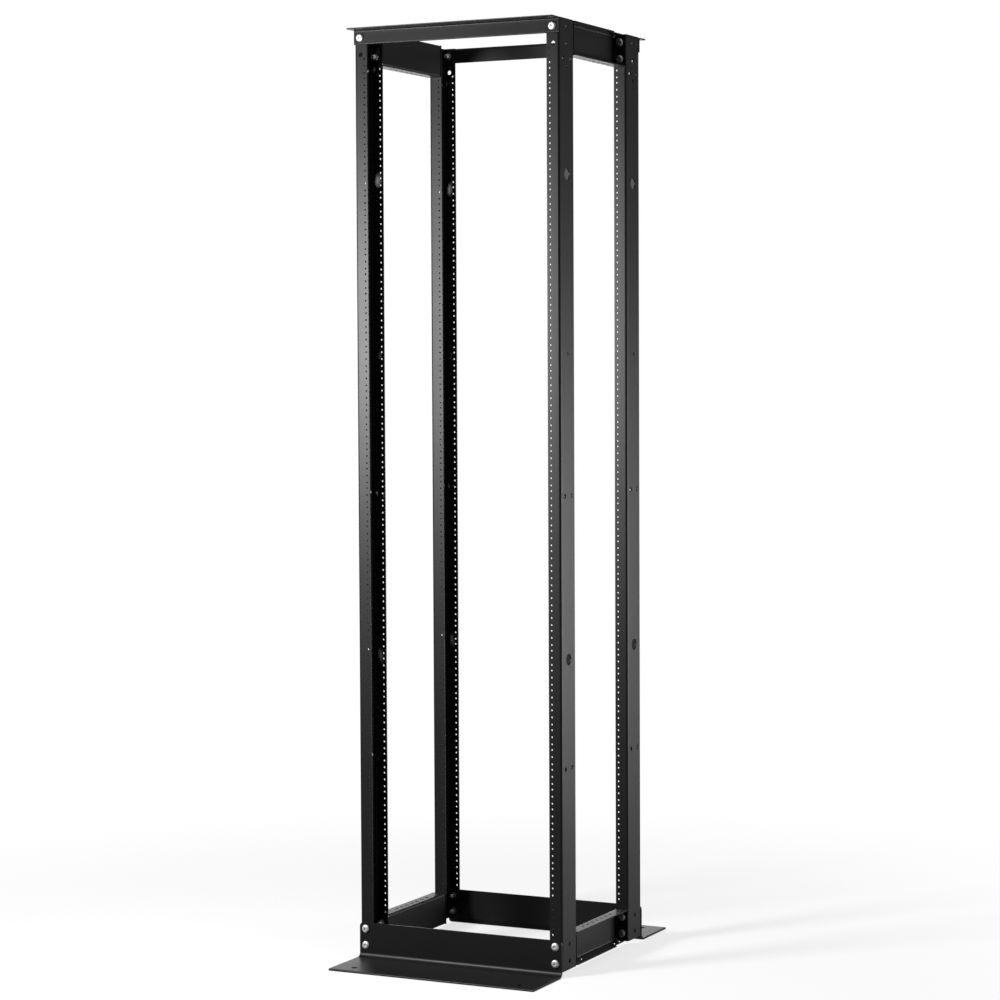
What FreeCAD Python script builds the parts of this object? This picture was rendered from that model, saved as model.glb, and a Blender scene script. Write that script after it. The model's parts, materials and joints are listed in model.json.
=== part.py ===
"""Four post open frame rack, 45 rack units, for 19 inch equipment.

Frame: +X to the rack's right, +Y from the front to the rear, +Z up, millimetres. The origin is at
the middle of the footprint, on the floor. Every piece is bent or rolled steel sheet. The front left
post, the front angles and the top left rail are modelled, and the other pieces are their mirror
images in the rack's three middle planes.
"""
import FreeCAD
import Part
import math
import os

import Sketcher

SIZES = {
    # whole rack
    "rack_height": 2133.6,
    "rack_width": 514.35,
    "rack_depth": 444.5,
    "post_foot": 12.7,
    # posts
    "web_depth": 76.2,
    "flange_width": 31.75,
    "post_wall": 3.0,
    "post_bend": 2.5,
    # rack unit holes
    "rack_units": 45,
    "unit_pitch": 44.45,
    "hole_step": 15.875,
    "hole_gauge": 465.14,
    "unit_hole": 5.5,
    # bolts that join the pieces
    "bolt_hole": 10.3,
    "bolt_margin": 19.05,
    "bolt_pitch": 38.1,
    # holes in the web of a post
    "cable_hole": 26.0,
    "upper_cable_height": 1790.7,
    "lower_cable_height": 711.2,
    # top angles
    "angle_drop": 35.0,
    "angle_reach": 38.1,
    "angle_wall": 3.2,
    "angle_bend": 2.5,
    # base angles
    "base_rise": 84.0,
    "base_reach": 152.4,
    "base_wall": 4.8,
    "base_bend": 7.9,
    "base_corner": 9.5,
    "anchor_hole": 14.3,
    "anchor_from_end": 49.6,
    "anchor_from_tip": 31.5,
    # side rails
    "rail_height": 76.2,
    "rail_wall": 2.7,
    "rail_bend": 2.5,
    "rail_relief": 3.0,
    "rail_cut_back": 8.0,
    "rail_cut_length": 60.0,
    "tie_hole": 8.0,
    "tie_count": 7,
    "tie_pitch": 25.4,
}
CUT_PAST = 1.0  # how far a cut runs past the sheet on each side

doc = FreeCAD.newDocument("rack")
sheet = doc.addObject("Spreadsheet::Sheet", "sizes")
for row, (alias, value) in enumerate(SIZES.items(), start=1):
    sheet.set(f"A{row}", alias)
    sheet.set(f"B{row}", str(value))
    sheet.setAlias(f"B{row}", alias)
doc.recompute()


# Worked out from the sheet, as expressions
POST_LENGTH = "(sizes.rack_height - sizes.post_foot)"
HOLE_IN = "((sizes.rack_width - sizes.hole_gauge) / 2)"
HOLES_SPAN = "((sizes.rack_units - 1) * sizes.unit_pitch + 2 * sizes.hole_step)"
LOWEST_HOLE = f"(({POST_LENGTH} - {HOLES_SPAN}) / 2)"
BOLT_IN = "(sizes.flange_width / 2)"
RAIL_LENGTH = "(sizes.rack_depth - 2 * sizes.web_depth)"
RAIL_SETBACK = "(sizes.rail_wall + sizes.rail_bend + sizes.rail_relief)"
MID_HEIGHT = "((sizes.rack_height + sizes.post_foot) / 2)"


def new_body(label, x, y, z):
    """A body whose own origin sits at x, y, z in the rack's frame."""
    body = doc.addObject("PartDesign::Body", label)
    body.Label = label
    for axis, place in zip("xyz", (x, y, z)):
        body.setExpression(f"Placement.Base.{axis}", place)
    return body


def new_sketch(body, role, label, lift=None):
    """A sketch on one of the body's origin planes, lifted along the plane's normal."""
    sketch = body.newObject("Sketcher::SketchObject", label)
    plane = next(f for f in body.Origin.OriginFeatures if f.Role == role)
    sketch.AttachmentSupport = [(plane, "")]
    sketch.MapMode = "FlatFace"
    if lift:
        sketch.setExpression("AttachmentOffset.Base.z", lift)
    return sketch


def fix_point(sketch, geometry, point, x, y):
    """Hold one point of a sketch at x, y, both expressions."""
    for kind, place in (("DistanceX", x), ("DistanceY", y)):
        index = sketch.addConstraint(Sketcher.Constraint(kind, -1, 1, geometry, point, 1.0))
        sketch.setExpression(f"Constraints[{index}]", place)


def draw_outline(sketch, corners):
    """A closed outline of straight lines through the corners."""
    count = len(corners)
    turn = 2 * math.pi / count
    spots = [FreeCAD.Vector(math.cos(i * turn), math.sin(i * turn), 0) for i in range(count)]
    first = sketch.GeometryCount
    for i in range(count):
        sketch.addGeometry(Part.LineSegment(spots[i], spots[(i + 1) % count]), False)
    for i in range(count):
        following = first + (i + 1) % count
        sketch.addConstraint(Sketcher.Constraint("Coincident", first + i, 2, following, 1))
        fix_point(sketch, first + i, 1, *corners[i])


def draw_hole(sketch, x, y, diameter):
    """A round hole."""
    geometry = sketch.addGeometry(Part.Circle(FreeCAD.Vector(1, 1, 0), FreeCAD.Vector(0, 0, 1), 1), False)
    fix_point(sketch, geometry, 3, x, y)
    index = sketch.addConstraint(Sketcher.Constraint("Diameter", geometry, 2.0))
    sketch.setExpression(f"Constraints[{index}]", diameter)


def draw_faceted_hole(sketch, x, y, diameter, sides):
    """A hole of few sides whose corners lie on the circle of a round one."""
    corners = []
    for i in range(sides):
        angle = 360 * i / sides
        corners.append((f"{x} + {diameter} / 2 * cos({angle} deg)", f"{y} + {diameter} / 2 * sin({angle} deg)"))
    draw_outline(sketch, corners)


def pad(body, sketch, length, label, both_ways=False):
    feature = body.newObject("PartDesign::Pad", label)
    feature.Profile = sketch
    feature.Midplane = both_ways
    feature.setExpression("Length", length)
    doc.recompute()
    return feature


def pocket(body, sketch, length, label, both_ways=False, reverse=False):
    """A cut that has to take material away."""
    before = body.Shape.Volume
    feature = body.newObject("PartDesign::Pocket", label)
    feature.Profile = sketch
    feature.Midplane = both_ways
    feature.Reversed = reverse
    feature.setExpression("Length", length)
    doc.recompute()
    if not feature.Shape.Volume < before - 1:
        raise RuntimeError(f"{label} cuts nothing")
    return feature


def repeat_up(body, feature, count, length, label):
    """Copies of a cut up the body's own Z axis."""
    pattern = body.newObject("PartDesign::LinearPattern", label)
    pattern.Originals = [feature]
    axis = next(f for f in body.Origin.OriginFeatures if f.Role == "Z_Axis")
    pattern.Direction = (axis, [""])
    pattern.setExpression("Length", length)
    pattern.setExpression("Occurrences", count)
    body.Tip = pattern
    doc.recompute()
    return pattern


def ease_edges(body, radius, label, chosen):
    """A flat face in place of a round of this radius, touching it halfway, so a bend keeps its wall.

    `chosen` picks the edges by their two ends.
    """
    base = body.Tip
    names = []
    for number, edge in enumerate(base.Shape.Edges, start=1):
        if len(edge.Vertexes) == 2 and chosen(edge.Vertexes[0].Point, edge.Vertexes[1].Point):
            names.append(f"Edge{number}")
    chamfer = body.newObject("PartDesign::Chamfer", label)
    chamfer.Base = (base, names)
    chamfer.setExpression("Size", f"(2 - sqrt(2)) * ({radius})")
    doc.recompute()
    return chamfer


def size(alias):
    return float(sheet.get(alias))


def close(a, b):
    return abs(a - b) < 1e-4


def mirrored(source, label, normal, height=None):
    """The mirror image of a piece in one of the rack's middle planes."""
    feature = doc.addObject("Part::Mirroring", label)
    feature.Label = label
    feature.Source = source
    feature.Normal = normal
    if height:
        feature.setExpression("Base.z", height)
    return feature


def make_post():
    """C channel with its web outboard and a flange to the front and to the rear.

    The body's origin is the outer front corner of its foot, with +X inboard and +Y to the rear.
    """
    body = new_body("post_front_left", "-sizes.rack_width / 2", "-sizes.rack_depth / 2", "sizes.post_foot")
    profile = new_sketch(body, "XY_Plane", "post_profile")
    inner = "sizes.flange_width"
    wall = "sizes.post_wall"
    deep = "sizes.web_depth"
    back = "sizes.web_depth - sizes.post_wall"
    draw_outline(profile, [
        ("0", "0"), (inner, "0"), (inner, wall), (wall, wall),
        (wall, back), (inner, back), (inner, deep), ("0", deep),
    ])
    pad(body, profile, POST_LENGTH, "post_channel")

    def upright_at(x, y_values):
        def chosen(p, q):
            upright = close(p.x, q.x) and close(p.y, q.y)
            return upright and close(p.x, x) and any(close(p.y, y) for y in y_values)
        return chosen

    web_deep, post_wall = size("web_depth"), size("post_wall")
    ease_edges(body, "sizes.post_bend", "post_inside_bends",
                upright_at(post_wall, (post_wall, web_deep - post_wall)))
    ease_edges(body, "sizes.post_bend + sizes.post_wall", "post_outside_bends",
                upright_at(0, (0, web_deep)))

    bolts = new_sketch(body, "XZ_Plane", "post_flange_bolts")
    for end_height in end_bolt_heights():
        draw_faceted_hole(bolts, BOLT_IN, end_height, "sizes.bolt_hole", 4)
    pocket(body, bolts, f"sizes.web_depth + {CUT_PAST}", "post_flange_bolt_holes")

    web = new_sketch(body, "YZ_Plane", "post_web_holes", lift="sizes.post_wall")
    for end_height in end_bolt_heights():
        draw_faceted_hole(web, "sizes.web_depth / 2", end_height, "sizes.bolt_hole", 4)
    for alias in ("upper_cable_height", "lower_cable_height"):
        height = f"(sizes.{alias} - sizes.post_foot)"
        draw_faceted_hole(web, "sizes.web_depth / 2", height, "sizes.cable_hole", 8)
    pocket(body, web, f"sizes.post_wall + {CUT_PAST}", "post_web_cuts")

    unit = new_sketch(body, "XZ_Plane", "unit_holes")
    for step in range(3):
        draw_faceted_hole(unit, HOLE_IN, f"({LOWEST_HOLE} + {step} * sizes.hole_step)", "sizes.unit_hole", 4)
    cut = pocket(body, unit, "sizes.post_wall", "unit_cut")
    repeat_up(body, cut, "sizes.rack_units", "(sizes.rack_units - 1) * sizes.unit_pitch", "unit_hole_row")

    rounds = new_sketch(body, "XZ_Plane", "round_unit_holes")
    for way in ("+", "-"):
        draw_hole(rounds, HOLE_IN, f"{POST_LENGTH} / 2 {way} sizes.hole_step", "sizes.unit_hole")
    pocket(body, rounds, "sizes.post_wall", "round_unit_cut")
    return body


def end_bolt_heights():
    """Heights of the two bolts at each end of a post, above its foot."""
    from_end = ("sizes.bolt_margin", "(sizes.bolt_margin + sizes.bolt_pitch)")
    return [*from_end, *(f"({POST_LENGTH} - {place})" for place in from_end)]


def make_top_angle():
    """Angle across the front posts, flush with their tops, one leg down and one to the front."""
    body = new_body("top_angle_front", "-sizes.rack_width / 2", "-sizes.rack_depth / 2", "sizes.rack_height")
    profile = new_sketch(body, "YZ_Plane", "top_angle_profile")
    draw_outline(profile, [
        ("0", "0"), ("-sizes.angle_reach", "0"), ("-sizes.angle_reach", "-sizes.angle_wall"),
        ("-sizes.angle_wall", "-sizes.angle_wall"), ("-sizes.angle_wall", "-sizes.angle_drop"),
        ("0", "-sizes.angle_drop"),
    ])
    pad(body, profile, "sizes.rack_width", "top_angle_sheet")
    bend_angle(body, "angle", -size("angle_wall"))
    bolts = new_sketch(body, "XZ_Plane", "top_angle_bolts")
    for across in (BOLT_IN, f"(sizes.rack_width - {BOLT_IN})"):
        draw_faceted_hole(bolts, across, "-sizes.bolt_margin", "sizes.bolt_hole", 4)
    pocket(body, bolts, f"sizes.angle_wall + {CUT_PAST}", "top_angle_bolt_holes", reverse=True)
    return body


def bend_angle(body, kind, inside):
    """Round the inside and the outside of an angle's bend; `inside` is its inner corner's height."""
    def lengthways_at(y, z):
        def chosen(p, q):
            return close(p.y, q.y) and close(p.z, q.z) and close(p.y, y) and close(p.z, z)
        return chosen

    ease_edges(body, f"sizes.{kind}_bend", f"{kind}_inside_bend", lengthways_at(-size(f"{kind}_wall"), inside))
    ease_edges(body, f"sizes.{kind}_bend + sizes.{kind}_wall", f"{kind}_outside_bend", lengthways_at(0, 0))


def make_base_angle():
    """Angle across the front of the posts' feet: one leg up, bolted on, and one out on the floor."""
    body = new_body("base_angle_front", "-sizes.rack_width / 2", "-sizes.rack_depth / 2", "0")
    profile = new_sketch(body, "YZ_Plane", "base_angle_profile")
    draw_outline(profile, [
        ("0", "0"), ("0", "sizes.base_rise"), ("-sizes.base_wall", "sizes.base_rise"),
        ("-sizes.base_wall", "sizes.base_wall"), ("-sizes.base_reach", "sizes.base_wall"),
        ("-sizes.base_reach", "0"),
    ])
    pad(body, profile, "sizes.rack_width", "base_angle_sheet")
    bend_angle(body, "base", size("base_wall"))

    rise = size("base_rise")
    ease_edges(body, "sizes.base_corner", "base_top_corners",
                lambda p, q: close(p.z, rise) and close(q.z, rise) and close(p.x, q.x))

    bolts = new_sketch(body, "XZ_Plane", "base_angle_bolts")
    for across in (BOLT_IN, f"(sizes.rack_width - {BOLT_IN})"):
        for height in ("(sizes.post_foot + sizes.bolt_margin)",
                       "(sizes.post_foot + sizes.bolt_margin + sizes.bolt_pitch)"):
            draw_faceted_hole(bolts, across, height, "sizes.bolt_hole", 4)
    pocket(body, bolts, f"sizes.base_wall + {CUT_PAST}", "base_angle_bolt_holes", reverse=True)

    anchors = new_sketch(body, "XY_Plane", "base_anchor_holes", lift="sizes.base_wall")
    for across in ("sizes.anchor_from_end", "(sizes.rack_width - sizes.anchor_from_end)"):
        draw_hole(anchors, across, "(sizes.anchor_from_tip - sizes.base_reach)", "sizes.anchor_hole")
    pocket(body, anchors, f"sizes.base_wall + {CUT_PAST}", "base_anchor_cuts")
    return body


def make_side_rail():
    """Channel between the left posts: web inboard, flanges out to the posts' webs, bent end tabs.

    The outer flange steps back at its rear end. The body's origin is the middle of the rail's open
    side, with +X inboard.
    """
    body = new_body("side_rail_top_left", "-sizes.rack_width / 2", "0", "sizes.rack_height - sizes.rail_height / 2")
    half = "(sizes.rail_height / 2)"
    inboard = "sizes.flange_width"
    web_face = "(sizes.flange_width - sizes.rail_wall)"
    channel = new_sketch(body, "XZ_Plane", "rail_channel_profile")
    draw_outline(channel, [
        ("0", half), (inboard, half), (inboard, f"-{half}"), ("0", f"-{half}"),
        ("0", f"(sizes.rail_wall - {half})"), (web_face, f"(sizes.rail_wall - {half})"),
        (web_face, f"({half} - sizes.rail_wall)"), ("0", f"({half} - sizes.rail_wall)"),
    ])
    pad(body, channel, f"{RAIL_LENGTH} - 2 * {RAIL_SETBACK}", "rail_channel", both_ways=True)
    half_height, wall = size("rail_height") / 2, size("rail_wall")
    web_out = size("flange_width")

    def lengthways_at(x, z):
        def chosen(p, q):
            same = close(p.x, q.x) and close(p.z, q.z)
            return same and close(p.x, x) and close(abs(p.z), z)
        return chosen

    ease_edges(body, "sizes.rail_bend", "rail_inside_bends", lengthways_at(web_out - wall, half_height - wall))
    ease_edges(body, "sizes.rail_bend + sizes.rail_wall", "rail_outside_bends", lengthways_at(web_out, half_height))

    end = f"({RAIL_LENGTH} / 2)"
    tabs = new_sketch(body, "XY_Plane", "rail_tab_profile")
    draw_outline(tabs, [
        ("0", end), (inboard, end), (inboard, f"-{end}"), ("0", f"-{end}"),
        ("0", f"(sizes.rail_wall - {end})"), (web_face, f"(sizes.rail_wall - {end})"),
        (web_face, f"({end} - sizes.rail_wall)"), ("0", f"({end} - sizes.rail_wall)"),
    ])
    pad(body, tabs, f"sizes.rail_height - 2 * {RAIL_SETBACK}", "rail_tabs", both_ways=True)
    half_length = size("rack_depth") / 2 - size("web_depth")

    def upright_at(x, y):
        def chosen(p, q):
            same = close(p.x, q.x) and close(p.y, q.y)
            return same and close(p.x, x) and close(abs(p.y), y)
        return chosen

    ease_edges(body, "sizes.rail_bend", "tab_inside_bends", upright_at(web_out - wall, half_length - wall))
    ease_edges(body, "sizes.rail_bend + sizes.rail_wall", "tab_outside_bends", upright_at(web_out, half_length))

    bolts = new_sketch(body, "XZ_Plane", "rail_tab_bolts")
    for height in ("-sizes.bolt_pitch / 2", "sizes.bolt_pitch / 2"):
        draw_faceted_hole(bolts, BOLT_IN, height, "sizes.bolt_hole", 4)
    pocket(body, bolts, f"{RAIL_LENGTH} + {CUT_PAST}", "rail_tab_bolt_holes", both_ways=True)

    corner = new_sketch(body, "XY_Plane", "rail_rear_corner", lift="sizes.rail_height / 2")
    draw_outline(corner, [
        (f"-{CUT_PAST}", f"({end} - sizes.rail_cut_length - sizes.rail_cut_back)"),
        ("sizes.rail_cut_back", f"({end} - sizes.rail_cut_length)"),
        ("sizes.rail_cut_back", end),
        (f"-{CUT_PAST}", end),
    ])
    pocket(body, corner, "sizes.rail_wall", "rail_rear_corner_cut")

    ties = new_sketch(body, "XY_Plane", "rail_tie_holes", lift="-sizes.rail_height / 2")
    for number in range(int(size("tie_count"))):
        along = f"({number} - (sizes.tie_count - 1) / 2) * sizes.tie_pitch"
        draw_faceted_hole(ties, BOLT_IN, along, "sizes.tie_hole", 4)
    pocket(body, ties, "sizes.rail_wall", "rail_tie_cuts", reverse=True)
    return body


ACROSS = FreeCAD.Vector(1, 0, 0)
FORE_AND_AFT = FreeCAD.Vector(0, 1, 0)
UP = FreeCAD.Vector(0, 0, 1)

post = make_post()
rear_post = mirrored(post, "post_rear_left", FORE_AND_AFT)
top_angle = make_top_angle()
base_angle = make_base_angle()
top_rail = make_side_rail()
bottom_rail = mirrored(top_rail, "side_rail_bottom_left", UP, MID_HEIGHT)
pieces = [
    post,
    rear_post,
    mirrored(post, "post_front_right", ACROSS),
    mirrored(rear_post, "post_rear_right", ACROSS),
    top_angle,
    mirrored(top_angle, "top_angle_rear", FORE_AND_AFT),
    base_angle,
    mirrored(base_angle, "base_angle_rear", FORE_AND_AFT),
    top_rail,
    bottom_rail,
    mirrored(top_rail, "side_rail_top_right", ACROSS),
    mirrored(bottom_rail, "side_rail_bottom_right", ACROSS),
]
doc.recompute()

for item in doc.Objects:
    if "Invalid" in item.State or "Error" in item.State:
        raise RuntimeError(f"{item.Label} did not build: {item.State}")
os.makedirs("parts", exist_ok=True)
for piece in pieces:
    if piece.Shape.isNull() or not piece.Shape.isValid():
        raise RuntimeError(f"{piece.Label} has no valid shape")
for piece in pieces:
    piece.Shape.exportStep(f"parts/{piece.Label}.step")
    print(f"{piece.Label:24s} {piece.Shape.Volume:12.0f} mm3")
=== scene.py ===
"""Looks of a four post open frame rack: punched posts, folded angles and rails, zinc bolts.

Lengths are in metres, in the rack's own frame: +X to its right, +Y to its rear, +Z up.
"""

import json
import math

import bmesh
import bpy
from mathutils import Matrix, Vector


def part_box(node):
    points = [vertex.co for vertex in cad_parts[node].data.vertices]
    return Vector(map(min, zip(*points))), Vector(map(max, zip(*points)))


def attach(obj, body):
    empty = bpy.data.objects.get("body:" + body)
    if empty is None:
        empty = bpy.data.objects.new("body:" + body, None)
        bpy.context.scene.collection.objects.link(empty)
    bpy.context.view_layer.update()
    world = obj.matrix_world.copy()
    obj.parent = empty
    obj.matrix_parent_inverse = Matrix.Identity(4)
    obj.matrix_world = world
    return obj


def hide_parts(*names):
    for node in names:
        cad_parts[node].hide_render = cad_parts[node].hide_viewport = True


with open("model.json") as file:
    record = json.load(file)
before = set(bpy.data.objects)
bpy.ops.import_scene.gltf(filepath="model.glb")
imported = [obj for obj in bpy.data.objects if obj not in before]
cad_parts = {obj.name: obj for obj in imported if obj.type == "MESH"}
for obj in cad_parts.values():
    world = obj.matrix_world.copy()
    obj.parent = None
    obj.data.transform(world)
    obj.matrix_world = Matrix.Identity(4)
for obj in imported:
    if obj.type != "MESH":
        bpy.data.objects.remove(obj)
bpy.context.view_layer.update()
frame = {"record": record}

BODY = "root"
SIDES = (-1, 1)  # left and right, or front and rear
NEAR = 1e-5

# rack unit holes
UNIT = 0.04445
UNITS = 45
HOLES_A_UNIT = 3
HOLE_STEP = 0.015875
HOLE_COLUMN = 0.23257
UNIT_HOLE_R = 0.0022  # what a number 12 thread leaves open
UNIT_HOLE_SIDES = 16

# sheet and folds
POST_WALL = 0.003
POST_FOLD_R = 0.0055
ANGLE_WALL = 0.0032
ANGLE_FOLD_R = 0.0057
ANGLE_TOE_R = 0.0024
BASE_WALL = 0.0048
BASE_FOLD_R = 0.0155
BASE_FOLD_STEPS = 7
BASE_CORNER_R = 0.0095
BASE_CORNER_STEPS = 5
BASE_TOE_R = 0.003
RAIL_WALL = 0.0027
RAIL_FOLD_R = 0.0052
RAIL_FOLD_STEPS = 4
FOLD_STEPS = 5
TOE_STEPS = 4
EDGE_SOFTNESS = 0.0004
EDGE_STEPS = 2

# holes in the posts' webs
WEB_HOLE_R = 0.0055
CABLE_HOLE_R = 0.0135
WEB_HOLE_SIDES = 24
# height, spread either side of the web's middle, radius
WEB_HOLES = (
    (2.0450, 0.0178, WEB_HOLE_R),
    (2.0290, 0, 0.0042),
    (1.7907, 0, CABLE_HOLE_R),
    (1.3928, 0, 0.0045),
    (1.0770, 0.0178, WEB_HOLE_R),
    (0.7112, 0, CABLE_HOLE_R),
    (0.4660, 0.0178, WEB_HOLE_R),
)

# side rails: open corners, tie holes, and an outer flange cut back at its rear end
RAIL_RELIEF = 0.006
TIE_R = 0.0046
TIE_SIDES = 16
TIE_PITCH = 0.0254
TIES = 7
FLANGE_CUT_BACK = 0.008
FLANGE_CUT_LENGTH = 0.06
FLANGE_HOLES = (0.0935, 0.122)  # from the rail's middle, each way

# joints
BOLT_COLUMN = 0.2413
BOLT_MARGIN = 0.01905
BOLT_PITCH = 0.0381
BOLT_STEPS = (BOLT_MARGIN, BOLT_MARGIN + BOLT_PITCH)  # from the end of a post
BOLT_HOLE_R = 0.00515
BOLT_HOLE_SIDES = 20
ANCHOR_HOLE_SIDES = 28
SHEET_PUNCH = 0.02
BASE_PUNCH = 0.03

# bolt heads, nuts and low screws; each step of a dome is a rise and a scale
ROUND_SIDES = 36
HEAD_R = 0.0095
HEAD_RIM = 0.0016
HEAD_DOME = ((0.0007, 0.97), (0.0009, 0.93), (0.0008, 0.885), (0.0006, 0.83), (0.0003, 0.80))
HEAD_SOCKET_R = 0.0031
HEAD_SOCKET_LENGTH = 0.0056
HEAD_SOFTNESS = 0.00025
SCREW_R = 0.0046
SCREW_SIDES = 28
SCREW_RIM = 0.0009
SCREW_DOME = ((0.0007, 0.95), (0.0006, 0.88), (0.0004, 0.78), (0.0002, 0.6))
SCREW_SOCKET_R = 0.0018
SCREW_SOCKET_LENGTH = 0.002
NUT_R = 0.0078
NUT_HEIGHT = 0.0078
NUT_CHAMFER = 0.0011
NUT_CHAMFER_R = NUT_R * 0.985
BORE_GAP = 0.0003
SHANK_R = 0.0042
SHANK_SIDES = 24
SHANK_START = 0.001
SHANK_THREADS = 17
THREAD_RISE = 0.0005
THREAD_WAIST = 0.93
SHANK_TIP = (0.0006, 0.85)
HEXAGON = 6
WRENCH_TURN = 0.7  # radians

# finishes
COAT_TONES = ((0.0042, 0.0042, 0.0044, 1), (0.0064, 0.0064, 0.0067, 1))
COAT_DUST = (0.022, 0.022, 0.021, 1)
COAT_SPECULAR = 0.2
BRIGHT_ZINC = 0.72
# a darker copy of the same zinc: painted shade on the nuts, rail bolts and low screws set
# inside the channels
ZINC_IN_PAINTED_SHADE = 0.38

# floor, light and camera
FLOOR_HALF = 20.0
FLOOR_EYE = (0.9, 0.9, 0.9, 1)
FLOOR_BOUNCE = (0.25, 0.25, 0.25, 1)
FLOOR_WHITE = 1.0
FLOOR_SHADOW = 0.3  # share of the matt floor, and so of its shadow, near the rack
SHADOW_NEAR, SHADOW_FAR = 0.5, 2.2
GLOSS_SHARE = 0.05
WORLD_WHITE = 1.0
WORLD_LIGHT = 0.09
WHITE = (1, 1, 1, 1)
# name, place, target, width, height, power
SOFT_BOXES = (
    ("front_left_box", (-1.0, -1.776, 1.485), (0, 0, 1.385), 0.45, 0.64, 84),
    ("rear_right_box", (3.0, 2.017, 0.675), (0, 0, 0.775), 2.5, 1.29, 130),
    ("overhead_box", (0.5, -0.8, 4.2), (0, 0, 0.8), 3.0, 3.0, 36),
    ("rear_left_box", (-1.9, 3.6, 1.0), (0, 0, 0.4), 2.5, 1.5, 30),
)
CAMERA_PLACE = (2.8280, -5.7773, 1.3677)
CAMERA_TURN, CAMERA_DROP, CAMERA_ROLL = 26.10, 2.781, -0.267  # degrees
CAMERA_LENS, CAMERA_SENSOR = 99.55, 36.0  # millimetres


# ---- modelling helpers ----


def nothing_selected():
    if bpy.context.mode != "OBJECT":
        bpy.ops.object.mode_set(mode="OBJECT")
    bpy.ops.object.select_all(action="DESELECT")


def take(piece):
    """Makes a piece the only selected one."""
    nothing_selected()
    piece.select_set(True)
    bpy.context.view_layer.objects.active = piece
    return piece


def edit(piece, mode="EDGE"):
    """Edit mode with nothing in the mesh selected."""
    take(piece)
    bpy.ops.object.mode_set(mode="EDIT")
    bpy.ops.mesh.select_mode(type=mode)
    bpy.ops.mesh.select_all(action="DESELECT")


def leave_edit():
    bpy.ops.object.mode_set(mode="OBJECT")


def pick(piece, kind, wanted):
    """In edit mode, selects the verts, edges or faces that pass the test and no others."""
    mesh = bmesh.from_edit_mesh(piece.data)
    for element in getattr(mesh, kind):
        element.select = wanted(element)
    mesh.select_flush_mode()
    bmesh.update_edit_mesh(piece.data)


def pick_edges(piece, wanted):
    """Selects edges by their two ends."""
    pick(piece, "edges", lambda edge: wanted(edge.verts[0].co, edge.verts[1].co))


def pick_faces(piece, wanted):
    """Selects faces by their middle and normal."""
    pick(piece, "faces", lambda face: wanted(face.calc_center_median(), face.normal))


def same(a, b):
    return abs(a - b) < NEAR


def edges_at(**place):
    """A test for edges with both ends at the given coordinates, such as x=0.1."""
    return lambda p, q: all(
        same(getattr(end, axis), value) for end in (p, q) for axis, value in place.items()
    )


def settle(piece):
    """Puts a piece's place, turn and scale into its mesh."""
    take(piece)
    bpy.ops.object.transform_apply(location=True, rotation=True, scale=True)
    return piece


def sheet(name, low, high):
    """A flat rectangle between two corners that share one coordinate."""
    low, high = Vector(low), Vector(high)
    span = high - low
    flat = min(range(3), key=lambda axis: span[axis])
    turn = {0: (0, math.pi / 2, 0), 1: (math.pi / 2, 0, 0), 2: (0, 0, 0)}[flat]
    across = {0: (span.z, span.y), 1: (span.x, span.z), 2: (span.x, span.y)}[flat]
    nothing_selected()
    bpy.ops.mesh.primitive_plane_add(size=1, location=(low + high) / 2, rotation=turn)
    piece = bpy.context.object
    piece.name = name
    piece.scale = (across[0], across[1], 1)
    return settle(piece)


def pull_edges(piece, wanted, move):
    """Folds out a strip from the picked edges."""
    edit(piece)
    pick_edges(piece, wanted)
    bpy.ops.mesh.extrude_edges_move(TRANSFORM_OT_translate={"value": move})
    leave_edit()


def slice_sheet(piece, point, normal, wanted=lambda c, n: True):
    """Divides the picked faces along a plane."""
    edit(piece, "FACE")
    pick_faces(piece, wanted)
    bpy.ops.mesh.bisect(plane_co=point, plane_no=normal)
    leave_edit()


def drop_faces(piece, wanted):
    edit(piece, "FACE")
    pick_faces(piece, wanted)
    bpy.ops.mesh.delete(type="FACE")
    leave_edit()


def round_edges(piece, wanted, radius, steps=FOLD_STEPS):
    edit(piece)
    pick_edges(piece, wanted)
    bpy.ops.mesh.bevel(offset=radius, segments=steps, profile=0.5, affect="EDGES")
    leave_edit()


def face_outward(piece, wanted, way):
    """Turns all normals so that the picked faces point the given way."""
    edit(piece, "FACE")
    bpy.ops.mesh.select_all(action="SELECT")
    bpy.ops.mesh.normals_make_consistent(inside=False)
    mesh = bmesh.from_edit_mesh(piece.data)
    shown = next(face.normal for face in mesh.faces if wanted(face.calc_center_median()))
    if shown.dot(Vector(way)) < 0:
        bpy.ops.mesh.flip_normals()
    leave_edit()


def apply_all(piece):
    take(piece)
    for modifier in list(piece.modifiers):
        bpy.ops.object.modifier_apply(modifier=modifier.name)
    return piece


def thicken(piece, wall):
    """Gives a folded sheet its wall, inward from the modelled faces."""
    solid = piece.modifiers.new("wall", "SOLIDIFY")
    solid.thickness = wall
    solid.offset = -1
    solid.use_even_offset = True
    return apply_all(piece)


def soften(piece, width=EDGE_SOFTNESS, degrees=60):
    """A narrow round along the sharp edges."""
    bevel = piece.modifiers.new("soft edge", "BEVEL")
    bevel.width = width
    bevel.segments = EDGE_STEPS
    bevel.limit_method = "ANGLE"
    bevel.angle_limit = math.radians(degrees)
    bevel.harden_normals = False
    return apply_all(piece)


def rod(name, centre, along, radius, length, sides):
    """A plain cutter or blank along one axis."""
    turn = {"X": (0, math.pi / 2, 0), "Y": (math.pi / 2, 0, 0), "Z": (0, 0, 0)}[along]
    nothing_selected()
    bpy.ops.mesh.primitive_cylinder_add(
        vertices=sides, radius=radius, depth=length, location=centre, rotation=turn
    )
    piece = bpy.context.object
    piece.name = name
    return settle(piece)


def joined(name, pieces):
    take(pieces[0])
    for piece in pieces[1:]:
        piece.select_set(True)
    if len(pieces) > 1:
        bpy.ops.object.join()
    pieces[0].name = name
    return pieces[0]


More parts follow.
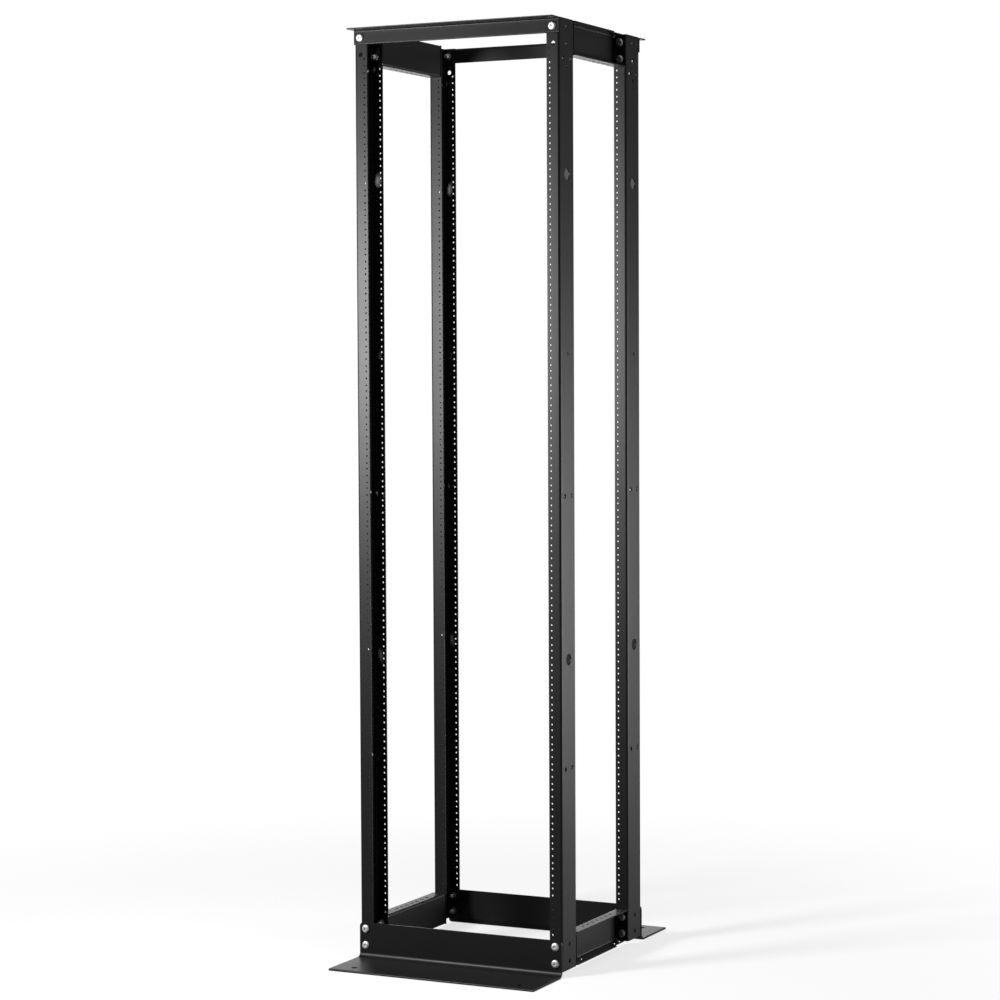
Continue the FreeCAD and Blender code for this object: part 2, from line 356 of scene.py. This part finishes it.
def cut(piece, tool, operation):
    """Cuts a piece with a tool, or down to it, and throws the tool away."""
    change = piece.modifiers.new("cut", "BOOLEAN")
    change.operation = operation
    change.solver = "EXACT"
    change.object = tool
    apply_all(piece)
    bpy.data.objects.remove(tool)
    return piece


def punch(piece, punches):
    """Cuts all the punches out of a piece at once."""
    return cut(piece, joined("punch", punches), "DIFFERENCE")


def weld(piece):
    edit(piece, "VERT")
    bpy.ops.mesh.select_all(action="SELECT")
    bpy.ops.mesh.remove_doubles(threshold=NEAR)
    leave_edit()
    return piece


def smooth(piece, degrees=35):
    """Smooth folds and rounds between flat faces that stay flat."""
    take(piece)
    bpy.ops.object.shade_smooth_by_angle(angle=math.radians(degrees))
    flat = piece.modifiers.new("flat faces", "WEIGHTED_NORMAL")
    flat.weight = 100
    flat.keep_sharp = True
    return apply_all(piece)


def copy_of(piece, name):
    take(piece)
    bpy.ops.object.duplicate(linked=False)
    twin = bpy.context.object
    twin.name = name
    return twin


def mirror_of(piece, name, across):
    """A copy mirrored in a plane through a point, given as {axis: place}."""
    twin = copy_of(piece, name)
    edit(twin, "VERT")
    bpy.ops.mesh.select_all(action="SELECT")
    factor, centre = [1, 1, 1], [0, 0, 0]
    for axis, place in across.items():
        factor["XYZ".index(axis)] = -1
        centre["XYZ".index(axis)] = place
    bpy.ops.transform.resize(value=factor, center_override=centre)
    bpy.ops.mesh.normals_make_consistent(inside=False)
    leave_edit()
    return twin


# ---- posts ----


def channel_stretch(name, low, high, bottom, top):
    """A stretch of the front left post: web outboard, flanges inboard, both ends closed."""
    piece = sheet(name, (low.x, low.y, bottom), (low.x, high.y, top))

    def on_fold(p, q):
        upright = same(p.y, q.y) and not same(p.z, q.z)
        return upright and (same(p.y, low.y) or same(p.y, high.y))

    in_web, on_lip = edges_at(x=low.x), edges_at(x=high.x)
    pull_edges(piece, on_fold, (high.x - low.x, 0, 0))
    round_edges(piece, lambda p, q: on_fold(p, q) and in_web(p, q), POST_FOLD_R)
    face_outward(piece, lambda c: same(c.x, low.x), (-1, 0, 0))
    thicken(piece, POST_WALL)
    round_edges(
        piece, lambda p, q: on_lip(p, q) and same(p.y, q.y), EDGE_SOFTNESS, EDGE_STEPS
    )
    return piece


def open_end(piece, height):
    """Takes off the cap at one height, so that stretches join into one post."""
    drop_faces(piece, lambda c, n: same(c.z, height) and abs(n.z) > 0.9)


def make_rows(low, high, bottom):
    """The stretch with the rack unit holes: one unit's, repeated and merged."""
    across, through = (low.y + high.y) / 2, (high.y - low.y) * 2
    rows = channel_stretch("rows", low, high, bottom, bottom + UNIT)
    first = bottom + (UNIT - (HOLES_A_UNIT - 1) * HOLE_STEP) / 2
    punches = []
    for number in range(HOLES_A_UNIT):
        centre = (-HOLE_COLUMN, across, first + number * HOLE_STEP)
        punches.append(rod("hole", centre, "Y", UNIT_HOLE_R, through, UNIT_HOLE_SIDES))
    punch(rows, punches)
    open_end(rows, bottom)
    open_end(rows, bottom + UNIT)
    row = rows.modifiers.new("row", "ARRAY")
    row.count = UNITS
    row.use_relative_offset = False
    row.use_constant_offset = True
    row.constant_offset_displace = (0, 0, UNIT)
    row.use_merge_vertices = True
    row.merge_threshold = NEAR
    return apply_all(rows)


def make_front_left_post():
    low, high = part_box("post_front_left")
    middle = (low.z + high.z) / 2
    rows_bottom, rows_top = middle - UNITS * UNIT / 2, middle + UNITS * UNIT / 2
    rows = make_rows(low, high, rows_bottom)
    foot = channel_stretch("foot", low, high, low.z, rows_bottom)
    open_end(foot, rows_bottom)
    head = channel_stretch("head", low, high, rows_top, high.z)
    open_end(head, rows_top)
    post = weld(joined("post_front_left_sheet", [rows, foot, head]))

    across = (low.y + high.y) / 2
    through_flanges, through_web = (high.y - low.y) * 2, POST_WALL * 4
    punches = []
    for end, way in ((low.z, 1), (high.z, -1)):
        for step in BOLT_STEPS:
            height = end + way * step
            for centre, along, radius, length in (
                ((-BOLT_COLUMN, across, height), "Y", BOLT_HOLE_R, through_flanges),
                ((low.x, across, height), "X", WEB_HOLE_R, through_web),
            ):
                punches.append(rod("hole", centre, along, radius, length, BOLT_HOLE_SIDES))
    for height, spread, radius in WEB_HOLES:
        for way in SIDES if spread else (1,):
            centre = (low.x, across + way * spread, height)
            punches.append(rod("hole", centre, "X", radius, through_web, WEB_HOLE_SIDES))
    return punch(post, punches)


# ---- angles ----


def make_top_angle():
    """The front one: one leg down the posts' faces, one leg out to the front."""
    low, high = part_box("top_angle_front")
    piece = sheet(
        "top_angle_front_sheet", (low.x, high.y, low.z), (high.x, high.y, high.z)
    )
    pull_edges(piece, edges_at(z=high.z), (0, low.y - high.y, 0))
    round_edges(piece, edges_at(y=high.y, z=high.z), ANGLE_FOLD_R)
    face_outward(piece, lambda c: same(c.y, high.y), (0, 1, 0))
    thicken(piece, ANGLE_WALL)
    for y, z in ((high.y - ANGLE_WALL, low.z), (low.y, high.z - ANGLE_WALL)):
        round_edges(piece, edges_at(y=y, z=z), ANGLE_TOE_R, TOE_STEPS)
    punches = []
    for side in SIDES:
        centre = (side * BOLT_COLUMN, high.y, high.z - BOLT_MARGIN)
        punches.append(rod("hole", centre, "Y", BOLT_HOLE_R, SHEET_PUNCH, BOLT_HOLE_SIDES))
    return soften(punch(piece, punches))


def make_base_angle():
    """The front one: one leg up the posts' feet, one wide leg out on the floor."""
    low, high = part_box("base_angle_front")
    piece = sheet(
        "base_angle_front_sheet", (low.x, low.y, low.z), (high.x, high.y, low.z)
    )
    pull_edges(piece, edges_at(y=high.y), (0, 0, high.z - low.z))
    round_edges(piece, edges_at(y=high.y, z=low.z), BASE_FOLD_R, BASE_FOLD_STEPS)
    edit(piece, "VERT")
    pick(piece, "verts", lambda corner: same(corner.co.z, high.z))
    bpy.ops.mesh.bevel(offset=BASE_CORNER_R, segments=BASE_CORNER_STEPS, affect="VERTICES")
    leave_edit()
    face_outward(piece, lambda c: same(c.z, low.z), (0, 0, -1))
    thicken(piece, BASE_WALL)
    for y, z in ((high.y - BASE_WALL, high.z), (low.y, low.z + BASE_WALL)):
        round_edges(piece, edges_at(y=y, z=z), BASE_TOE_R, TOE_STEPS)
    post_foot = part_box("post_front_left")[0].z
    punches = []
    for side in SIDES:
        for step in BOLT_STEPS:
            centre = (side * BOLT_COLUMN, high.y, post_foot + step)
            punches.append(
                rod("hole", centre, "Y", BOLT_HOLE_R, BASE_PUNCH, BOLT_HOLE_SIDES)
            )
    anchors = next(m for m in frame["record"]["mounts"] if m["name"] == "floor_anchors")
    half_x = anchors["dims"]["spacing_x_mm"] / 2000
    half_y = anchors["dims"]["spacing_y_mm"] / 2000
    anchor_r = anchors["dims"]["hole_r_mm"] / 1000
    for side in SIDES:
        centre = (side * half_x, -half_y, low.z)
        punches.append(rod("hole", centre, "Z", anchor_r, BASE_PUNCH, ANCHOR_HOLE_SIDES))
    return soften(punch(piece, punches))


# ---- side rails ----


def make_top_left_rail():
    """Web inboard, flanges and end tabs folded outboard, open corners between them."""
    low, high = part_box("side_rail_top_left")
    inboard, outboard = high.x, low.x
    piece = sheet(
        "side_rail_top_left_sheet", (inboard, low.y, low.z), (inboard, high.y, high.z)
    )
    for y in (low.y + RAIL_RELIEF, high.y - RAIL_RELIEF):
        slice_sheet(piece, (0, y, 0), (0, 1, 0))
    for z in (low.z + RAIL_RELIEF, high.z - RAIL_RELIEF):
        slice_sheet(piece, (0, 0, z), (0, 0, 1))

    def in_corner(c, n):
        near_end = c.y < low.y + RAIL_RELIEF or c.y > high.y - RAIL_RELIEF
        return near_end and (c.z < low.z + RAIL_RELIEF or c.z > high.z - RAIL_RELIEF)

    def on_rim(p, q):
        along = any(same(p.z, z) and same(q.z, z) for z in (low.z, high.z))
        end = any(same(p.y, y) and same(q.y, y) for y in (low.y, high.y))
        return along or end

    drop_faces(piece, in_corner)
    pull_edges(piece, on_rim, (outboard - inboard, 0, 0))

    cut_x = outboard + FLANGE_CUT_BACK
    slant = Vector((outboard, high.y - FLANGE_CUT_LENGTH - FLANGE_CUT_BACK, 0))

    def on_lip(c, n):
        return same(c.z, high.z) and c.x < cut_x

    slice_sheet(piece, (cut_x, 0, 0), (1, 0, 0), lambda c, n: same(c.z, high.z))
    slice_sheet(piece, slant, (1, -1, 0), on_lip)
    drop_faces(piece, lambda c, n: on_lip(c, n) and c.y - slant.y > c.x - slant.x)

    in_web = edges_at(x=inboard)
    round_edges(
        piece, lambda p, q: on_rim(p, q) and in_web(p, q), RAIL_FOLD_R, RAIL_FOLD_STEPS
    )
    face_outward(piece, lambda c: same(c.x, inboard), (1, 0, 0))
    thicken(piece, RAIL_WALL)

    middle_z = (low.z + high.z) / 2
    punches = []
    for y in (low.y, high.y):
        for way in SIDES:
            centre = (-BOLT_COLUMN, y, middle_z + way * BOLT_PITCH / 2)
            punches.append(
                rod("hole", centre, "Y", BOLT_HOLE_R, SHEET_PUNCH, BOLT_HOLE_SIDES)
            )
    tie_rows = [(number - (TIES - 1) / 2) * TIE_PITCH for number in range(TIES)]
    places = [(y, low.z) for y in tie_rows]
    places += [(way * y, high.z) for y in FLANGE_HOLES for way in SIDES]
    for y, z in places:
        punches.append(rod("hole", (-BOLT_COLUMN, y, z), "Z", TIE_R, SHEET_PUNCH, TIE_SIDES))
    return soften(punch(piece, punches))


# ---- bolts, nuts and screws ----


def lift_cap(piece, top, steps):
    """Raises and scales the top face, step by step, and gives the new top."""
    for rise, scale in steps:
        edit(piece, "FACE")
        pick_faces(piece, lambda c, n: same(c.z, top) and n.z > 0.9)
        bpy.ops.mesh.extrude_region_move(TRANSFORM_OT_translate={"value": (0, 0, rise)})
        top += rise
        bpy.ops.transform.resize(value=(scale, scale, 1), center_override=(0, 0, top))
        leave_edit()
    return top


def make_bolt_head():
    """Button head with a hexagon socket, standing on z = 0."""
    head = rod("bolt_head", (0, 0, HEAD_RIM / 2), "Z", HEAD_R, HEAD_RIM, ROUND_SIDES)
    top = lift_cap(head, HEAD_RIM, HEAD_DOME)
    socket = rod("socket", (0, 0, top), "Z", HEAD_SOCKET_R, HEAD_SOCKET_LENGTH, HEXAGON)
    punch(head, [socket])
    return smooth(soften(head, HEAD_SOFTNESS, 40))


def make_low_screw():
    """Low round head for the bottom rails' lower flanges, standing on z = 0."""
    head = rod("low_screw", (0, 0, SCREW_RIM / 2), "Z", SCREW_R, SCREW_RIM, SCREW_SIDES)
    top = lift_cap(head, SCREW_RIM, SCREW_DOME)
    socket = rod("socket", (0, 0, top), "Z", SCREW_SOCKET_R, SCREW_SOCKET_LENGTH, HEXAGON)
    return smooth(punch(head, [socket]))


def make_nut():
    """Chamfered hexagon nut on the threaded end of its bolt, standing on z = 0."""
    middle = (0, 0, NUT_HEIGHT / 2)
    nut = rod("nut", middle, "Z", NUT_R, NUT_HEIGHT, HEXAGON)
    barrel = rod("barrel", middle, "Z", NUT_CHAMFER_R, NUT_HEIGHT, ROUND_SIDES)
    round_edges(barrel, lambda p, q: same(p.z, q.z), NUT_CHAMFER, EDGE_STEPS)
    cut(nut, barrel, "INTERSECT")
    punch(nut, [rod("bore", middle, "Z", SHANK_R + BORE_GAP, NUT_HEIGHT * 2, SHANK_SIDES)])
    shank = rod("shank", (0, 0, SHANK_START / 2), "Z", SHANK_R, SHANK_START, SHANK_SIDES)
    thread = [(THREAD_RISE, THREAD_WAIST), (THREAD_RISE, 1 / THREAD_WAIST)]
    lift_cap(shank, SHANK_START, thread * SHANK_THREADS + [SHANK_TIP])
    return smooth(joined("nut", [nut, shank]))


def set_of(source, name, places):
    """One piece of copies of a bolt head or nut, turned unalike as a wrench leaves them.

    A place is the middle of its seat, and then -1 where it points forward or 1 to the rear.
    """
    copies = []
    for number, (x, y, z, way) in enumerate(places):
        copy = copy_of(source, f"{name}_{number}")
        wrench_turn = Matrix.Rotation(WRENCH_TURN * number * number, 4, "Z")
        face = Matrix.Rotation(-way * math.pi / 2, 4, "X")
        copy.matrix_world = Matrix.Translation((x, y, z)) @ face @ wrench_turn
        copies.append(settle(copy))
    return joined(name, copies)


# ---- finishes ----


class Wire:
    """A shader socket that takes part in sums."""

    def __init__(self, shader, socket):
        self.shader, self.socket = shader, socket

    def _sum(self, operation, first, second):
        inputs = {0: first, 1: second}
        return self.shader.add("ShaderNodeMath", {"operation": operation}, inputs)

    def __add__(self, other):
        return self._sum("ADD", self, other)

    __radd__ = __add__

    def __rsub__(self, other):
        return self._sum("SUBTRACT", other, self)

    def __mul__(self, other):
        return self._sum("MULTIPLY", self, other)

    __rmul__ = __mul__

    def power(self, other):
        return self._sum("POWER", self, other)

    def at_least(self, other):
        return self._sum("MAXIMUM", self, other)


class Shader:
    """A material or world and the nodes in it."""

    def __init__(self, holder):
        self.holder = holder
        holder.use_nodes = True
        self.tree = holder.node_tree
        self.tree.nodes.clear()

    def add(self, kind, settings=None, inputs=None, out=0):
        """Any node: its settings first, then the values and links of its inputs."""
        node = self.tree.nodes.new(kind)
        for key, value in (settings or {}).items():
            setattr(node, key, value)
        for key, value in (inputs or {}).items():
            if isinstance(value, Wire):
                self.tree.links.new(value.socket, node.inputs[key])
            else:
                node.inputs[key].default_value = value
        return Wire(self, node.outputs[out])

    def place(self):
        return self.add("ShaderNodeTexCoord", out="Object")

    def noise(self, where, scale, detail, roughness):
        inputs = {"Vector": where, "Scale": scale, "Detail": detail, "Roughness": roughness}
        return self.add("ShaderNodeTexNoise", None, inputs)

    def blend(self, factor, first, second):
        """Inputs 6 and 7 and output 2 are the colours of a Mix node."""
        inputs = {0: factor, 6: first, 7: second}
        return self.add("ShaderNodeMix", {"data_type": "RGBA"}, inputs, 2)

    def bump(self, strength, distance, height):
        inputs = {"Strength": strength, "Distance": distance, "Height": height}
        return self.add("ShaderNodeBump", None, inputs)

    def mixed(self, share, first, second):
        return self.add("ShaderNodeMixShader", None, {0: share, 1: first, 2: second})

    def finish(self, surface, kind="ShaderNodeOutputMaterial"):
        end = self.tree.nodes.new(kind)
        self.tree.links.new(surface.socket, end.inputs["Surface"])
        return self.holder


def powder_coat():
    """Satin black powder coat: fine orange peel, faint clouds, a trace of dust on top faces."""
    coat = Shader(bpy.data.materials.new("black_powder_coat"))
    where = coat.place()
    grain = coat.noise(where, 1500, 2, 0.6)
    peel = coat.noise(where, 420, 3, 0.55)
    cloud = coat.noise(where, 5, 4, 0.6)
    normal = coat.add("ShaderNodeNewGeometry", out="Normal")
    upward = coat.add("ShaderNodeSeparateXYZ", None, {0: normal}, "Z").at_least(0).power(6)
    dust = upward * coat.noise(where, 60, 5, 0.7) * 0.25
    tone = coat.blend(dust, coat.blend(cloud, *COAT_TONES), COAT_DUST)
    surface = coat.add(
        "ShaderNodeBsdfPrincipled",
        None,
        {
            "Base Color": tone,
            "Roughness": 0.35 + 0.07 * cloud + 0.05 * grain + 0.25 * dust,
            "Normal": coat.bump(0.22, 0.0002, peel + 0.4 * grain),
            "Specular IOR Level": COAT_SPECULAR,
        },
    )
    return coat.finish(surface)


def zinc_plate(name, shade):
    """Zinc plate: fine turning marks and slight patches."""
    zinc = Shader(bpy.data.materials.new(name))
    where = zinc.place()
    patch = zinc.noise(where, 160, 3, 0.6)
    fine = zinc.noise(where, 2200, 2, 0.6)
    stained = (0.86 * shade, 0.87 * shade, 0.88 * shade, 1)
    clean = (shade, shade, 0.99 * shade, 1)
    surface = zinc.add(
        "ShaderNodeBsdfPrincipled",
        None,
        {
            "Base Color": zinc.blend(patch, stained, clean),
            "Roughness": 0.4 + 0.14 * patch + 0.06 * fine,
            "Normal": zinc.bump(0.15, 0.0001, fine),
            "Metallic": 1.0,
        },
    )
    return zinc.finish(surface)


def dress(piece, material):
    piece.data.materials.clear()
    piece.data.materials.append(material)


# ---- the rack ----


def make_sheet_pieces(coat):
    """Each piece modelled once and mirrored, then coated in place of its CAD node."""

    def black_piece(piece, node):
        dress(smooth(piece), coat)
        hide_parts(node)
        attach(piece, BODY)

    def black_mirror(piece, node, across):
        black_piece(mirror_of(piece, f"{node}_sheet", across), node)

    post = make_front_left_post()
    rear_post = mirror_of(post, "post_rear_left_sheet", {"Y": 0})
    black_mirror(post, "post_front_right", {"X": 0})
    black_mirror(rear_post, "post_rear_right", {"X": 0})
    black_piece(post, "post_front_left")
    black_piece(rear_post, "post_rear_left")

    for kind, make_front_one in (("top", make_top_angle), ("base", make_base_angle)):
        angle = make_front_one()
        black_mirror(angle, f"{kind}_angle_rear", {"Y": 0})
        black_piece(angle, f"{kind}_angle_front")

    low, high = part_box("post_front_left")
    rail = make_top_left_rail()
    low_rail = mirror_of(rail, "side_rail_bottom_left_sheet", {"Z": (low.z + high.z) / 2})
    black_mirror(rail, "side_rail_top_right", {"X": 0})
    black_mirror(low_rail, "side_rail_bottom_right", {"X": 0})
    black_piece(rail, "side_rail_top_left")
    black_piece(low_rail, "side_rail_bottom_left")


def make_joint_sets(bright, painted_shade):
    """Bolt heads and nuts, front and rear: bright heads on the angles; all else in a darker
    copy of the zinc, painted shade for the pieces inside the channels.
    """
    head, nut = make_bolt_head(), make_nut()
    low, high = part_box("post_front_left")
    at_top = [(side * BOLT_COLUMN, high.z - BOLT_MARGIN) for side in SIDES]
    at_base = [(side * BOLT_COLUMN, low.z + step) for side in SIDES for step in BOLT_STEPS]
    heights = [low.z + step for step in BOLT_STEPS]
    heights += [high.z - step for step in reversed(BOLT_STEPS)]
    at_rails = [(side * BOLT_COLUMN, height) for side in SIDES for height in heights]
    outer, inner = -low.y, -high.y  # the posts' flange faces

    for way, end in ((-1, "front"), (1, "rear")):
        for source, name, places, seat, points, plate in (
            (head, "top_angle_bolts", at_top, outer + ANGLE_WALL, way, bright),
            (head, "base_angle_bolts", at_base, outer + BASE_WALL, way, bright),
            (nut, "angle_nuts", at_top + at_base, outer - POST_WALL, -way, painted_shade),
            (head, "rail_bolts", at_rails, inner - RAIL_WALL, -way, painted_shade),
            (nut, "rail_nuts", at_rails, inner + POST_WALL, way, painted_shade),
        ):
            seats = [(x, way * seat, z, points) for x, z in places]
            bolts = set_of(source, f"{name}_{end}", seats)
            dress(bolts, plate)
            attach(bolts, BODY)
    bpy.data.objects.remove(head)
    bpy.data.objects.remove(nut)


def make_rail_screws(plate):
    """The low screws on the lower flanges of both bottom rails."""
    screw = make_low_screw()
    flange_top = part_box("side_rail_bottom_left")[0].z + RAIL_WALL
    copies = []
    for side in SIDES:
        for along in FLANGE_HOLES:
            for way in SIDES:
                copy = copy_of(screw, f"rail_screw_{len(copies)}")
                copy.location = (side * BOLT_COLUMN, way * along, flange_top)
                copies.append(settle(copy))
    bpy.data.objects.remove(screw)
    screws = joined("rail_screws", copies)
    # the darker zinc paints shade on these screws down in the bottom rails' channels
    dress(screws, plate)
    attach(screws, BODY)


# ---- floor, light and camera ----


def seen(shader):
    """1 where the eye sees the background, straight or through glass; a little in gloss."""
    eye, through, gloss = (
        shader.add("ShaderNodeLightPath", out=f"Is {ray} Ray")
        for ray in ("Camera", "Transmission", "Glossy")
    )
    return eye.at_least(through).at_least(GLOSS_SHARE * gloss)


def make_floor():
    """Pale floor: white to the eye, with part of the rack's shadow kept near the rack."""
    nothing_selected()
    bpy.ops.mesh.primitive_plane_add(size=2 * FLOOR_HALF, location=(0, 0, 0))
    floor = bpy.context.object
    floor.name = "floor"
    pale = Shader(bpy.data.materials.new("pale_floor"))
    away = pale.add("ShaderNodeVectorMath", {"operation": "LENGTH"}, {0: pale.place()}, "Value")
    reach = {"From Min": SHADOW_NEAR, "From Max": SHADOW_FAR, "To Min": 1.0, "To Max": 0.0}
    near = pale.add(
        "ShaderNodeMapRange", {"interpolation_type": "SMOOTHSTEP"}, {"Value": away, **reach}
    )
    bounce = pale.add("ShaderNodeBsdfDiffuse", None, {"Color": FLOOR_BOUNCE})
    to_eye = pale.add("ShaderNodeBsdfDiffuse", None, {"Color": FLOOR_EYE})
    matt = pale.mixed(seen(pale), bounce, to_eye)
    white = pale.add("ShaderNodeEmission", None, {"Color": WHITE, "Strength": FLOOR_WHITE})
    share = seen(pale) * (1 - FLOOR_SHADOW * near)
    dress(floor, pale.finish(pale.mixed(share, matt, white)))


def make_world():
    world = Shader(bpy.data.worlds.new("studio"))
    bpy.context.scene.world = world.holder
    glow, white = (
        world.add("ShaderNodeBackground", None, {"Color": WHITE, "Strength": strength})
        for strength in (WORLD_LIGHT, WORLD_WHITE)
    )
    world.finish(world.mixed(seen(world), glow, white), "ShaderNodeOutputWorld")


def soft_box(name, place, target, width, height, power):
    lamp = bpy.data.lights.new(name, "AREA")
    lamp.shape = "RECTANGLE"
    lamp.size, lamp.size_y = width, height
    lamp.energy = power
    holder = bpy.data.objects.new(name, lamp)
    bpy.context.scene.collection.objects.link(holder)
    holder.location = place
    aim = Vector(target) - Vector(place)
    holder.rotation_euler = aim.to_track_quat("-Z", "Y").to_euler()
    holder.visible_camera = False


def make_camera():
    data = bpy.data.cameras.new("camera")
    data.lens, data.sensor_width = CAMERA_LENS, CAMERA_SENSOR
    data.clip_start, data.clip_end = 0.1, 100
    camera = bpy.data.objects.new("camera", data)
    bpy.context.scene.collection.objects.link(camera)
    turn = Matrix.Rotation(math.radians(CAMERA_TURN), 4, "Z")
    tip = Matrix.Rotation(math.radians(90 - CAMERA_DROP), 4, "X")
    roll = Matrix.Rotation(math.radians(CAMERA_ROLL), 4, "Z")
    camera.matrix_world = Matrix.Translation(CAMERA_PLACE) @ turn @ tip @ roll
    bpy.context.scene.camera = camera


make_sheet_pieces(powder_coat())
bright_plate = zinc_plate("zinc_plate", BRIGHT_ZINC)
# the same zinc made darker: painted shade for the pieces inside the channels
painted_shade_plate = zinc_plate("dull_zinc_plate", ZINC_IN_PAINTED_SHADE)
make_joint_sets(bright_plate, painted_shade_plate)
make_rail_screws(painted_shade_plate)
make_floor()
make_world()
make_camera()
for box in SOFT_BOXES:
    soft_box(*box)

bpy.context.scene.view_settings.view_transform = "Standard"
